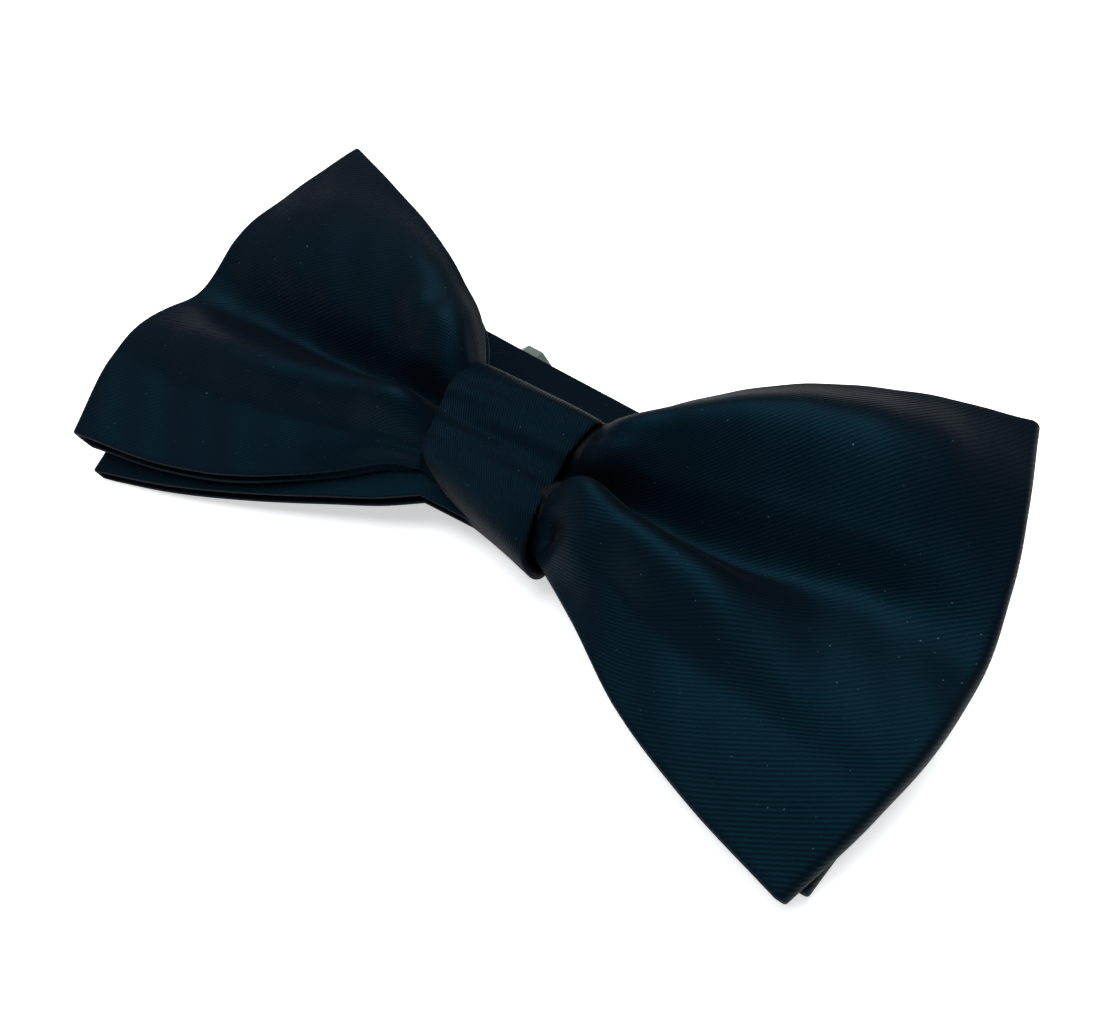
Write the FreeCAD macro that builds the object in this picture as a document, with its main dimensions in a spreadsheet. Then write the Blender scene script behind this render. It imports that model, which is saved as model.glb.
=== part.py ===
import FreeCAD, Part
import math
import os

import Sketcher
from FreeCAD import Placement, Rotation, Vector

# A pre-tied adjustable bow tie, lying face up on a flat surface with its neck band
# folded in a zigzag behind it.  Millimetres, +X along the bow, +Y towards the wings'
# upper edge, +Z up out of the bow's face, Z = 0 the surface it lies on.
#
# Two frames are used besides the part's own:
#   bow frame    X along the bow, Y up the wing, Z out of its face; it leans on the band
#   stack frame  X along the folded band, Y across it, Z up

DRIVING = {
    # the bow
    "bow_half_length": 63.0,
    "bow_corner_x": 56.5,
    "wing_half_height": 32.2,
    "waist_half_height": 6.6,
    "waist_middle": -2.5,
    "upper_lobe_rise": 7.5,
    "lower_lobe_rise": 3.2,
    "valley_rise": 0.6,
    "front_rear_level": -2.0,
    "back_front_level": -2.6,
    "back_rear_level": -5.6,
    "back_turn": 2.4,
    "back_shift_x": 1.0,
    "back_shift_y": -0.8,
    "cloth_wall": 0.4,
    "interlining_room": 0.1,
    "interlining_half_length": 52.0,
    "lean": 17.0,
    "bow_lift": 15.68,
    # the knot
    "knot_left": -12.0,
    "knot_right": 11.0,
    "knot_half_height": 10.5,
    "knot_front": 3.0,
    "knot_rear": -9.9,
    "knot_wall": 1.2,
    "knot_front_corner": 2.0,
    "knot_rear_corner": 1.2,
    "thread_thickness": 0.5,
    "thread_pitch": 1.1,
    "stitch_length": 1.6,
    "stitch_width": 0.5,
    "stitch_height": 0.25,
    "stitch_pitch": 2.4,
    # the neck band
    "band_width": 18.0,
    "band_thickness": 0.6,
    "layer_gap": 0.2,
    "fold_right": 56.0,
    "fold_left": -56.0,
    "stack_turn": -4.0,
    "stack_y": 15.0,
    "run_c_level": 4.2,
    "step_height": 1.0,
    "step_at": 2.6,
    "step_length": 3.6,
    "tunnel_level": -7.85,
    # the slide, the hook and the eye
    "slide_at": -18.5,
    "slide_half_length": 5.5,
    "slide_half_width": 11.8,
    "slide_gauge": 0.9,
    "slide_arch": 2.4,
    "hook_at": -44.5,
    "hook_half_width": 11.0,
    "hook_gauge": 0.8,
    "eye_at": -15.8,
    "eye_half_width": 12.5,
    "eye_gauge": 0.85,
    "slot_half_width": 9.3,
    # the loops of band that hold them
    "eye_loop_inner": 0.8,
    "eye_tail": 3.0,
    "hook_loop_inner": 0.9,
    "slide_loop_inner": 0.55,
    "loop_tail": 5.5,
    "return_start": -43.0,
}

# Along a wing: distance from the middle, how far its edges have flared, how far its lobes rise
WING_STATIONS = [
    ("waist_end", 12.2, 0.0, 0.0),
    ("gather", 14.5, 0.16, 0.35),
    ("lobe_start", 26.0, 0.50, 0.9),
    ("lobe", 41.0, 0.78, 1.0),
    ("corner", 56.5, 1.0, 0.45),
    ("wing_end", 63.0, 1.0, 0.2),
]


# ---------------------------------------------------------------- sizes and sketches


class Size:
    """A length made from the sheet's cells: its value, and the formula it is bound to."""

    def __init__(self, value, formula):
        self.value = value
        self.formula = formula

    def __add__(self, other):
        other = as_size(other)
        return Size(self.value + other.value, f"({self.formula} + {other.formula})")

    def __sub__(self, other):
        other = as_size(other)
        return Size(self.value - other.value, f"({self.formula} - {other.formula})")

    def __mul__(self, other):
        other = as_size(other)
        return Size(self.value * other.value, f"({self.formula} * {other.formula})")

    def __truediv__(self, other):
        other = as_size(other)
        return Size(self.value / other.value, f"({self.formula} / {other.formula})")

    def __neg__(self):
        return self * -1


def as_size(number):
    return number if isinstance(number, Size) else Size(float(number), f"{float(number):g}")


def cell(alias):
    return Size(DRIVING[alias], f"sizes.{alias}")


def make_sheet(doc):
    sheet = doc.addObject("Spreadsheet::Sheet", "sizes")
    for row, (alias, value) in enumerate(DRIVING.items(), start=1):
        sheet.set(f"A{row}", str(value))
        sheet.setAlias(f"A{row}", alias)
    doc.recompute()
    return sheet


def bind(feature, prop, size):
    """Set a property to a size and bind it to the size's formula."""
    size = as_size(size)
    setattr(feature, prop, size.value)
    feature.setExpression(prop, size.formula)


def hold_coordinate(sketch, kind, geometry, point, size):
    """Hold one coordinate of a sketch point; a point on an axis is put on that axis."""
    if abs(size.value) < 1e-9:
        axis = -2 if kind == "DistanceX" else -1
        sketch.addConstraint(Sketcher.Constraint("PointOnObject", geometry, point, axis))
        return
    held = sketch.addConstraint(Sketcher.Constraint(kind, -1, 1, geometry, point, size.value))
    sketch.setExpression(f"Constraints[{held}]", size.formula)


def draw_outline(sketch, corners, arcs=None):
    """Closed outline through the corners.  arcs gives, for the side that leaves a corner,
    its centre and whether it runs counter-clockwise; the other sides are straight."""
    arcs = arcs or {}
    corners = [(as_size(x), as_size(y)) for x, y in corners]
    places = [Vector(x.value, y.value, 0) for x, y in corners]
    sides = []
    for index, start in enumerate(places):
        end = places[(index + 1) % len(places)]
        if index in arcs:
            centre, counter_clockwise = arcs[index]
            middle = Vector(as_size(centre[0]).value, as_size(centre[1]).value, 0)
            first, last = (start, end) if counter_clockwise else (end, start)
            angles = [math.atan2(p.y - middle.y, p.x - middle.x) for p in (first, last)]
            circle = Part.Circle(middle, Vector(0, 0, 1), (start - middle).Length)
            geometry = sketch.addGeometry(Part.ArcOfCircle(circle, *angles), False)
            ends = (1, 2) if counter_clockwise else (2, 1)
            sides.append((geometry, *ends))
        else:
            geometry = sketch.addGeometry(Part.LineSegment(start, end), False)
            sides.append((geometry, 1, 2))
    for index, (geometry, _, end_point) in enumerate(sides):
        following, start_point, _ = sides[(index + 1) % len(sides)]
        sketch.addConstraint(
            Sketcher.Constraint("Coincident", geometry, end_point, following, start_point)
        )
    for (geometry, start_point, _), (x, y) in zip(sides, corners):
        hold_coordinate(sketch, "DistanceX", geometry, start_point, x)
        hold_coordinate(sketch, "DistanceY", geometry, start_point, y)
    for index, (centre, _) in arcs.items():
        start, end = places[index], places[(index + 1) % len(places)]
        upright = abs(start.x - end.x) < abs(start.y - end.y)
        kind, size = ("DistanceX", centre[0]) if upright else ("DistanceY", centre[1])
        hold_coordinate(sketch, kind, sides[index][0], 3, as_size(size))


def rectangle(x_low, x_high, y_low, y_high):
    return [(x_low, y_low), (x_high, y_low), (x_high, y_high), (x_low, y_high)]


# ---------------------------------------------------------------- bodies and features


def new_body(doc, label, placement):
    body = doc.addObject("PartDesign::Body", label)
    body.Label = label
    body.Placement = placement
    return body


def new_sketch(body, name, role, offset=None):
    """A sketch on one of the body's own origin planes, moved in that plane's frame."""
    sketch = body.newObject("Sketcher::SketchObject", name)
    plane = next(item for item in body.Origin.OriginFeatures if item.Role == role)
    sketch.AttachmentSupport = [(plane, "")]
    sketch.MapMode = "FlatFace"
    if offset is not None:
        sketch.AttachmentOffset = offset
    return sketch


def new_section(body, name, place):
    """A sketch across the X axis of a frame given in the body: its x is Y, its y is Z."""
    across = Placement(Vector(0, 0, 0), Rotation(Vector(1, 1, 1), 120))
    return new_sketch(body, name, "YZ_Plane", across.inverse() * place * across)


def set_symmetric(feature, symmetric):
    feature.SideType = "Symmetric" if symmetric else "One side"


def pad(body, name, sketch, length, symmetric=True):
    feature = body.newObject("PartDesign::Pad", name)
    feature.Profile = sketch
    bind(feature, "Length", length)
    set_symmetric(feature, symmetric)
    return feature


def pocket(body, name, sketch, length, symmetric=True):
    """Cut a sketch's outline away, and stop if that took nothing."""
    doc = body.Document
    doc.recompute()
    before = body.Shape.Volume
    feature = body.newObject("PartDesign::Pocket", name)
    feature.Profile = sketch
    bind(feature, "Length", length)
    set_symmetric(feature, symmetric)
    if not symmetric:
        feature.Reversed = True
    doc.recompute()
    if not body.Shape.Volume < before - 1e-3:
        raise RuntimeError(f"{body.Label}: {name} cuts nothing")
    return feature


def loft(body, name, sketches, cut=False):
    kind = "PartDesign::SubtractiveLoft" if cut else "PartDesign::AdditiveLoft"
    feature = body.newObject(kind, name)
    feature.Profile = sketches[0]
    feature.Sections = sketches[1:]
    feature.Ruled = True
    return feature


def repeat(body, name, feature, role, length, count):
    """Repeat a feature in a row along one of the body's own axes."""
    body.AllowCompound = True
    pattern = body.newObject("PartDesign::LinearPattern", name)
    pattern.Originals = [feature]
    axis = next(item for item in body.Origin.OriginFeatures if item.Role == role)
    pattern.Direction = (axis, [""])
    bind(pattern, "Length", length)
    pattern.Occurrences = count
    body.Tip = pattern
    return pattern


def round_corners(body, name, radius, wanted):
    """Fillet the edges along Z whose (x, y) the caller wants."""
    doc = body.Document
    doc.recompute()
    base = body.Tip
    edges = []
    for number, edge in enumerate(base.Shape.Edges, start=1):
        box = edge.BoundBox
        upright = box.XLength < 1e-6 and box.YLength < 1e-6
        if upright and wanted(box.XMin, box.YMin):
            edges.append(f"Edge{number}")
    if not edges:
        raise RuntimeError(f"{body.Label}: {name} finds no edges")
    fillet = body.newObject("PartDesign::Fillet", name)
    fillet.Base = (base, edges)
    fillet.Radius = radius
    return fillet


# ---------------------------------------------------------------- frames


def bow_frame(x=0.0, y=0.0, z=0.0):
    lean = Rotation(Vector(1, 0, 0), DRIVING["lean"])
    return Placement(Vector(0, 0, DRIVING["bow_lift"]), lean) * Placement(
        Vector(x, y, z), Rotation()
    )


def stack_frame(x=0.0, y=0.0, z=0.0):
    turn = Rotation(Vector(0, 0, 1), DRIVING["stack_turn"])
    return Placement(Vector(0, DRIVING["stack_y"], 0), turn) * Placement(
        Vector(x, y, z), Rotation()
    )


# ---------------------------------------------------------------- the bow's two loops


def wing_outline(flare, rise, levels, inset):
    """A wing's cross-section, lower edge to upper edge, drawn in by inset all round."""
    waist_middle, front, rear, lower_crest, valley, upper_crest = levels
    half = cell("waist_half_height") * (1 - flare) + cell("wing_half_height") * flare
    middle = waist_middle * (1 - flare)
    inset = as_size(inset)
    low = middle - half + inset
    high = middle + half - inset
    face = front - inset
    back = rear + inset
    return [
        (low, back),
        (low, face),
        (middle - half * 0.45, face + lower_crest * rise),
        (middle + half * 0.05, face + valley * rise),
        (middle + half * 0.50, face + upper_crest * rise),
        (high, face),
        (high, back),
    ]


def wing_sections(body, prefix, levels, inset, stations):
    """Sections from the left wing's end to the right wing's, through the waist."""
    placed = [(f"left_{n}", -x, f, r) for n, x, f, r in reversed(stations)]
    placed += [(f"right_{n}", x, f, r) for n, x, f, r in stations]
    sketches = []
    for name, x, flare, rise in placed:
        place = Placement(Vector(x, 0, 0), Rotation())
        sketch = new_section(body, f"{prefix}_{name}", place)
        draw_outline(sketch, wing_outline(flare, rise, levels, inset))
        sketches.append(sketch)
    return sketches


def inner_stations():
    """The stations that the interlining reaches: it stops short of the folded ends."""
    kept = [station for station in WING_STATIONS if station[1] < 50]
    share = (DRIVING["interlining_half_length"] - 41.0) / (56.5 - 41.0)
    kept.append(("interlining_end", DRIVING["interlining_half_length"], 0.78 + 0.22 * share, 0.62))
    return kept


def trim_wing_end(body, side):
    """Round a wing's end: an arc through its two corners and the bow's furthest point."""
    reach = cell("bow_half_length") - cell("bow_corner_x")
    half = cell("wing_half_height")
    radius = (half * half + reach * reach) / (reach * 2)
    corner = cell("bow_corner_x") * side
    outside = (cell("bow_half_length") + 5) * side
    beyond = half + 5
    centre = ((cell("bow_half_length") - radius) * side, 0)
    name = "right" if side > 0 else "left"
    sketch = new_sketch(body, f"{name}_end_outline", "XY_Plane")
    corners = [
        (corner, half),
        (corner, beyond),
        (outside, beyond),
        (outside, -beyond),
        (corner, -beyond),
        (corner, -half),
    ]
    draw_outline(sketch, corners, {5: (centre, side > 0)})
    pocket(body, f"{name}_end_trim", sketch, half * 2)


def make_loop(doc, name, placement, levels):
    """One satin loop of the bow, pressed flat, and the interlining sealed in it."""
    satin = new_body(doc, f"{name}_satin", placement)
    loft(satin, "loop", wing_sections(satin, "outer", levels, 0, WING_STATIONS))
    for side in (1, -1):
        trim_wing_end(satin, side)
    wall = cell("cloth_wall")
    hollow = wing_sections(satin, "hollow", levels, wall, inner_stations())
    loft(satin, "hollow", hollow, cut=True)
    lining = new_body(doc, f"{name}_interlining", placement)
    room = wall + cell("interlining_room")
    stations = [list(station) for station in inner_stations()]
    stations[-1][1] -= DRIVING["interlining_room"]
    loft(lining, "sheet", wing_sections(lining, "sheet", levels, room, stations))


def make_bow(doc):
    front_levels = (
        cell("waist_middle"),
        as_size(0.4),
        cell("front_rear_level"),
        cell("lower_lobe_rise"),
        cell("valley_rise"),
        cell("upper_lobe_rise"),
    )
    make_loop(doc, "front_bow", bow_frame(), front_levels)
    back_levels = (
        cell("waist_middle") - cell("back_shift_y"),
        cell("back_front_level"),
        cell("back_rear_level"),
        as_size(0),
        as_size(0),
        as_size(0),
    )
    shift = Vector(DRIVING["back_shift_x"], DRIVING["back_shift_y"], 0)
    turn = Rotation(Vector(0, 0, 1), DRIVING["back_turn"])
    make_loop(doc, "back_bow", bow_frame() * Placement(shift, turn), back_levels)


# ---------------------------------------------------------------- the knot


def ring_outline(inset):
    """The knot's outline across the bow, drawn in by inset."""
    inset = as_size(inset)
    middle = cell("waist_middle")
    half = cell("knot_half_height") - inset
    front = cell("knot_front") - inset
    rear = cell("knot_rear") + inset
    front_cut = cell("knot_front_corner") - inset * 0.586
    rear_cut = cell("knot_rear_corner") - inset * 0.586
    return [
        (middle - half + rear_cut, rear),
        (middle + half - rear_cut, rear),
        (middle + half, rear + rear_cut),
        (middle + half, front - front_cut),
        (middle + half - front_cut, front),
        (middle - half + front_cut, front),
        (middle - half, front - front_cut),
        (middle - half, rear + rear_cut),
    ]


def ring_sketch(body, name, at_x, outer_inset, inner_inset):
    place = Placement(Vector(at_x, 0, 0), Rotation())
    sketch = new_section(body, name, place)
    draw_outline(sketch, ring_outline(outer_inset))
    draw_outline(sketch, ring_outline(inner_inset))
    return sketch


def make_knot(doc):
    """The band wrapped round the waist, the interlining in it and its stitched seam."""
    wall = cell("knot_wall")
    skin = cell("cloth_wall")
    room = DRIVING["interlining_room"] / 2
    length = cell("knot_right") - cell("knot_left")
    start = DRIVING["knot_left"]

    wrap = new_body(doc, "knot_wrap", bow_frame())
    pad(wrap, "ring", ring_sketch(wrap, "ring_outline", start, 0, wall), length, False)
    end = DRIVING["cloth_wall"]
    hollow = ring_sketch(wrap, "hollow_outline", start + end, skin, wall - skin)
    pocket(wrap, "hollow", hollow, length - skin * 2, False)

    lining = new_body(doc, "knot_interlining", bow_frame())
    outline = ring_sketch(lining, "sheet_outline", start + end + room, skin + room, wall - skin - room)
    pad(lining, "sheet", outline, length - skin * 2 - room * 2, False)

    stitches = new_body(doc, "knot_seam_stitches", bow_frame(-7.2, -2.5, DRIVING["knot_rear"]))
    sketch = new_sketch(stitches, "stitch_outline", "XY_Plane")
    half = cell("stitch_length") / 2
    side = cell("stitch_width") / 2
    draw_outline(sketch, rectangle(-half, half, -side, side))
    stitch = pad(stitches, "stitch", sketch, cell("stitch_height"), False)
    stitch.Reversed = True
    repeat(stitches, "stitch_row", stitch, "X_Axis", cell("stitch_pitch") * 6, 7)


def make_gathering_thread(doc):
    """Four turns of thread that pinch both waists together inside the knot."""
    thread = new_body(doc, "gathering_thread", bow_frame())
    gap = 0.4
    gauge = cell("thread_thickness")
    half = cell("waist_half_height") + gap
    middle = cell("waist_middle")
    front = as_size(0.4 + 0.1)
    rear = cell("back_rear_level") - 0.1
    first = -1.5 * DRIVING["thread_pitch"] - DRIVING["thread_thickness"] / 2
    sketch = new_section(thread, "turn_outline", Placement(Vector(first, 0, 0), Rotation()))
    for grow in (as_size(0), gauge):
        low, high = middle - half - grow, middle + half + grow
        draw_outline(sketch, rectangle(low, high, rear - grow, front + grow))
    turn = pad(thread, "turn", sketch, gauge, False)
    repeat(thread, "turns", turn, "X_Axis", cell("thread_pitch") * 3, 4)


# ---------------------------------------------------------------- the neck band


def half_turn(body, name, inner, side):
    """Half a ring of band about the body's Y axis, on its +X or -X side."""
    outer = inner + cell("band_thickness")
    sketch = new_sketch(body, f"{name}_outline", "XZ_Plane")
    corners = [(0, -outer), (0, outer), (0, inner), (0, -inner)]
    centre = (0, 0)
    draw_outline(sketch, corners, {0: (centre, side > 0), 2: (centre, side < 0)})
    return pad(body, name, sketch, cell("band_width"))


def flat_layer(body, name, corners):
    sketch = new_sketch(body, f"{name}_outline", "XZ_Plane")
    draw_outline(sketch, corners)
    return pad(body, name, sketch, cell("band_width"))


def level_of(run):
    """The underside of a folded run of the band above the surface."""
    step = cell("band_thickness") + cell("layer_gap")
    rises = {"c": 0, "b": 1, "a": 2}
    return cell("run_c_level") + step * rises[run]


def make_first_run(doc):
    """From the eye's tab, through the knot, to the first fold."""
    thickness = cell("band_thickness")
    inner = DRIVING["eye_loop_inner"]
    drop = DRIVING["tunnel_level"] - DRIVING["band_thickness"] / 2 - inner
    frame = bow_frame(DRIVING["eye_at"], DRIVING["waist_middle"], drop)
    run = new_body(doc, "band_run_a", frame)
    loop = cell("eye_loop_inner")
    half_turn(run, "tab_turn", loop, -1)
    tail = cell("eye_tail")
    flat_layer(run, "tab_tail", rectangle(0, tail, -loop - thickness, -loop))
    leave = as_size(DRIVING["knot_right"] - DRIVING["eye_at"] + 2)
    flat_layer(run, "tunnel_run", rectangle(0, leave, loop, loop + thickness))
    half_level = thickness / 2
    top = level_of("a") + half_level
    exit_frame = Placement(Vector(leave.value, 0, (loop + half_level).value), Rotation())
    middle_turn = Rotation(Vector(1, 0, 0), DRIVING["lean"] * 0.42)
    middle_place = Placement(Vector(31.0, 5.9, 6.75), middle_turn)
    inverse = frame.inverse()
    places = [
        exit_frame,
        inverse * middle_place,
        inverse * stack_frame(45.0, 0, top.value),
        inverse * stack_frame(DRIVING["fold_right"], 0, top.value),
    ]
    width = cell("band_width") / 2
    sketches = []
    for number, place in enumerate(places):
        sketch = new_section(run, f"swing_{number}", place)
        draw_outline(sketch, rectangle(-width, width, -half_level, half_level))
        sketches.append(sketch)
    loft(run, "swing_to_stack", sketches)


def make_folded_runs(doc):
    """The runs that lie folded on each other, and the half-turns between them."""
    thickness = cell("band_thickness")
    half_gap = cell("layer_gap") / 2
    right, left = cell("fold_right"), cell("fold_left")
    for run in ("b", "c"):
        body = new_body(doc, f"band_run_{run}", stack_frame())
        low = level_of(run)
        flat_layer(body, "run", rectangle(left, right, low, low + thickness))

    near = (level_of("a") - half_gap).value
    fold = new_body(doc, "band_fold_1", stack_frame(DRIVING["fold_right"], 0, near))
    half_turn(fold, "turn", half_gap, 1)
    near = (level_of("b") - half_gap).value
    fold = new_body(doc, "band_fold_2", stack_frame(DRIVING["fold_left"], 0, near))
    half_turn(fold, "turn", half_gap, -1)
    loop = (level_of("c") - thickness) / 2
    near = (loop + thickness).value
    fold = new_body(doc, "band_fold_3", stack_frame(DRIVING["fold_right"], 0, near))
    half_turn(fold, "turn", loop, 1)


def make_last_run(doc):
    """Flat on the surface, up over the slide's bars, round the hook's bar and back."""
    thickness = cell("band_thickness")
    inner = cell("hook_loop_inner")
    step = cell("step_height")
    start = cell("step_at")
    centre = step + thickness + inner
    run = new_body(doc, "band_run_d", stack_frame(0, 0, 0))
    rise = cell("step_length")
    hook = cell("hook_at")
    right = cell("fold_right")
    flat_layer(run, "run", [
        (right, 0),
        (right, thickness),
        (start, thickness),
        (start - rise, step + thickness),
        (hook, step + thickness),
        (hook, step),
        (start - rise, step),
        (start, 0),
    ])
    sketch = new_sketch(run, "hook_turn_outline", "XZ_Plane")
    outer = inner + thickness
    corners = [
        (hook, centre + outer),
        (hook, centre - outer),
        (hook, centre - inner),
        (hook, centre + inner),
    ]
    middle = (hook, centre)
    draw_outline(sketch, corners, {0: (middle, True), 2: (middle, False)})
    pad(run, "hook_turn", sketch, cell("band_width"))
    top = centre + inner
    reach = cell("return_start")
    flat_layer(run, "return_start", rectangle(hook, reach, top, top + thickness))

    back = new_body(doc, "band_return", stack_frame())
    end = cell("slide_at") - cell("loop_tail")
    flat_layer(back, "return", rectangle(reach, end, top, top + thickness))


def slide_loop_level():
    """Height of the middle of the loop sewn round the slide's centre bar."""
    top = cell("step_height") + cell("band_thickness") + cell("hook_loop_inner") * 2
    return top - cell("slide_loop_inner")


def make_end_loop(doc):
    """The band's end, folded round the slide's centre bar and sewn to itself."""
    thickness = cell("band_thickness")
    inner = cell("slide_loop_inner")
    ahead = 0.5
    frame = stack_frame(DRIVING["slide_at"] + ahead, 0, slide_loop_level().value)
    loop = new_body(doc, "band_end_loop", frame)
    half_turn(loop, "turn", inner, 1)
    tail = cell("loop_tail") + ahead
    flat_layer(loop, "outer_layer", rectangle(-tail, 0, inner, inner + thickness))
    flat_layer(loop, "sewn_tail", rectangle(-tail, 0, -inner - thickness, -inner))


def bar_tack(doc, label, frame, gap, length):
    """A row of stitches between two layers of band that lie gap apart."""
    tack = new_body(doc, label, frame)
    sketch = new_sketch(tack, "stitch_outline", "XY_Plane")
    half = as_size(length) / 2
    width = cell("stitch_width") / 2
    corners = rectangle(-half, half, as_size(-6) - width, as_size(-6) + width)
    draw_outline(sketch, corners)
    stitch = pad(tack, "stitch", sketch, gap)
    repeat(tack, "stitch_row", stitch, "Y_Axis", as_size(12), 7)


# ---------------------------------------------------------------- the metal and plastic parts


def make_slide(doc):
    """A three-bar slide, arched so that the band runs over its end bars and under its
    centre bar, which carries the sewn loop."""
    slide = new_body(doc, "slider", stack_frame(DRIVING["slide_at"], 0, 0))
    half = cell("slide_half_length")
    gauge = cell("slide_gauge")
    arch = cell("slide_arch")
    foot = half - 1.5
    crown = as_size(1.2)
    right = [
        (foot, 0),
        (half, 0),
        (half, gauge),
        (foot + 0.1, gauge),
        (crown + 0.3, gauge + arch),
    ]
    left = [(-x, z) for x, z in reversed(right)]
    under = [(-crown, arch), (crown, arch)]
    sketch = new_sketch(slide, "arch_outline", "XZ_Plane")
    draw_outline(sketch, right + left + under)
    pad(slide, "arched_plate", sketch, cell("slide_half_width") * 2)
    slot = cell("slot_half_width")
    for name, side in (("right", 1), ("left", -1)):
        window = new_sketch(slide, f"{name}_window_outline", "XY_Plane")
        near, far = as_size(0.7) * side, (foot + 0.2) * side
        low, high = (near, far) if side > 0 else (far, near)
        draw_outline(window, rectangle(low, high, -slot, slot))
        pocket(slide, f"{name}_window", window, as_size(12))
    reach, width = DRIVING["slide_half_length"], DRIVING["slide_half_width"]

    def at_corner(x, y):
        return abs(abs(x) - reach) < 0.01 and abs(abs(y) - width) < 0.01

    round_corners(slide, "rounded_corners", 1.3, at_corner)


def make_hook(doc):
    """A flat hook: a bar for the band, a tapering plate and a tongue bent back under it."""
    level = DRIVING["step_height"] + DRIVING["band_thickness"] + DRIVING["hook_loop_inner"]
    hook = new_body(doc, "hook", stack_frame(DRIVING["hook_at"], 0, level))
    gauge = cell("hook_gauge")
    half = cell("hook_half_width")
    root = as_size(4.2)
    sketch = new_sketch(hook, "plate_outline", "XY_Plane")
    outline = [
        (0.7, -half),
        (0.7, half),
        (-3.8, half),
        (-8.0, root),
        (-8.0, -root),
        (-3.8, -half),
    ]
    draw_outline(sketch, outline)
    pad(hook, "plate", sketch, gauge)
    slot = cell("slot_half_width")
    window = new_sketch(hook, "band_slot_outline", "XY_Plane")
    draw_outline(window, rectangle(-2.5, -0.7, -slot, slot))
    pocket(hook, "band_slot", window, gauge * 2)

    bend = as_size(-11.8)
    inner = as_size(0.6)
    outer = inner + gauge
    top = gauge / 2
    middle = top - outer
    tongue = new_sketch(hook, "tongue_outline", "XZ_Plane")
    corners = [
        (-7.9, top),
        (bend, top),
        (bend, middle - outer),
        (-7.6, middle - outer),
        (-7.0, middle - inner),
        (bend, middle - inner),
        (bend, middle + inner),
        (-7.9, middle + inner),
    ]
    centre = (bend, middle)
    draw_outline(tongue, corners, {1: (centre, True), 5: (centre, False)})
    pad(hook, "tongue", tongue, root * 2)
    width = DRIVING["hook_half_width"]
    round_corners(hook, "rounded_corners", 1.2, lambda x, y: abs(abs(y) - width) < 0.01)


def make_eye(doc):
    """A flat eye: a bar for the band and a slot for the hook's tongue."""
    drop = DRIVING["tunnel_level"] - DRIVING["band_thickness"] / 2 - DRIVING["eye_loop_inner"]
    frame = bow_frame(DRIVING["eye_at"], DRIVING["waist_middle"], drop)
    eye = new_body(doc, "eye", frame)
    gauge = cell("eye_gauge")
    half = cell("eye_half_width")
    sketch = new_sketch(eye, "plate_outline", "XY_Plane")
    draw_outline(sketch, rectangle(-8.0, 0.5, -half, half))
    pad(eye, "plate", sketch, gauge)
    slot = cell("slot_half_width")
    windows = (("band_slot", -2.1, -0.5, slot), ("hook_slot", -6.4, -3.5, as_size(6.0)))
    for name, low, high, reach in windows:
        window = new_sketch(eye, f"{name}_outline", "XY_Plane")
        draw_outline(window, rectangle(low, high, -reach, reach))
        pocket(eye, name, window, gauge * 2)
    width = DRIVING["eye_half_width"]

    def at_outer_end(x, y):
        return abs(abs(y) - width) < 0.01 and x < -7.9

    round_corners(eye, "rounded_end", 3.0, at_outer_end)


# ---------------------------------------------------------------- the whole tie


def check_document(doc):
    for item in doc.Objects:
        bad = [word for word in item.State if word in ("Invalid", "Error")]
        if bad:
            raise RuntimeError(f"{item.Name} ({item.Label}): {item.State}")


def export_parts(doc):
    os.makedirs("parts", exist_ok=True)
    for item in doc.Objects:
        if item.TypeId != "PartDesign::Body":
            continue
        shape = item.Shape
        if shape.isNull() or not shape.isValid() or not shape.Solids:
            raise RuntimeError(f"{item.Label} has no valid solid")
        shape.exportStep(f"parts/{item.Label}.step")
        box = shape.BoundBox
        print(
            f"{item.Label:22s} solids {len(shape.Solids)}  volume {shape.Volume:9.2f}  "
            f"x {box.XMin:7.2f} {box.XMax:7.2f}  y {box.YMin:7.2f} {box.YMax:7.2f}  "
            f"z {box.ZMin:6.2f} {box.ZMax:6.2f}"
        )


def main():
    doc = FreeCAD.newDocument("bow_tie")
    make_sheet(doc)
    make_bow(doc)
    make_knot(doc)
    make_gathering_thread(doc)
    make_first_run(doc)
    make_folded_runs(doc)
    make_last_run(doc)
    make_end_loop(doc)
    make_slide(doc)
    make_hook(doc)
    make_eye(doc)
    eye_inner = DRIVING["eye_loop_inner"]
    eye_level = DRIVING["tunnel_level"] - DRIVING["band_thickness"] / 2 - eye_inner
    tack = bow_frame(DRIVING["eye_at"] + 2.2, DRIVING["waist_middle"], eye_level)
    bar_tack(doc, "eye_tab_stitches", tack, cell("eye_loop_inner") * 2, 0.8)
    tack = stack_frame(DRIVING["slide_at"] - 4.0, 0, slide_loop_level().value)
    bar_tack(doc, "slider_loop_stitches", tack, cell("slide_loop_inner") * 2, 0.8)
    doc.recompute()
    check_document(doc)
    export_parts(doc)


main()
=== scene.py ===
"""A pre-tied black satin bow tie, lying face up with its band folded behind it."""

import math

import bpy
import numpy as np
from mathutils import Euler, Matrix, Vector


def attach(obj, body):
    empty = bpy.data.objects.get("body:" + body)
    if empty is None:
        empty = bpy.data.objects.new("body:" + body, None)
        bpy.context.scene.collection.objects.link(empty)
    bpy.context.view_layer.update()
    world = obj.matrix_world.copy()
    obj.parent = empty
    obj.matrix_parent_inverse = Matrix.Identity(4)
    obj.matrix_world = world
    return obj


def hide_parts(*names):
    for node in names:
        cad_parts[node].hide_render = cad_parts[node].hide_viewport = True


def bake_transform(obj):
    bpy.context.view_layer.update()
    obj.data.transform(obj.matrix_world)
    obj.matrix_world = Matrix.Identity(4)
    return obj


MM = 0.001

# The bow's own frame leans back about X and is lifted; the folded band's is turned about Z
# and moved along Y.  Millimetres and degrees.
LEAN = 17.0
BOW_LIFT = 15.68
STACK_TURN = -4.0
STACK_Y = 15.0

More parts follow.
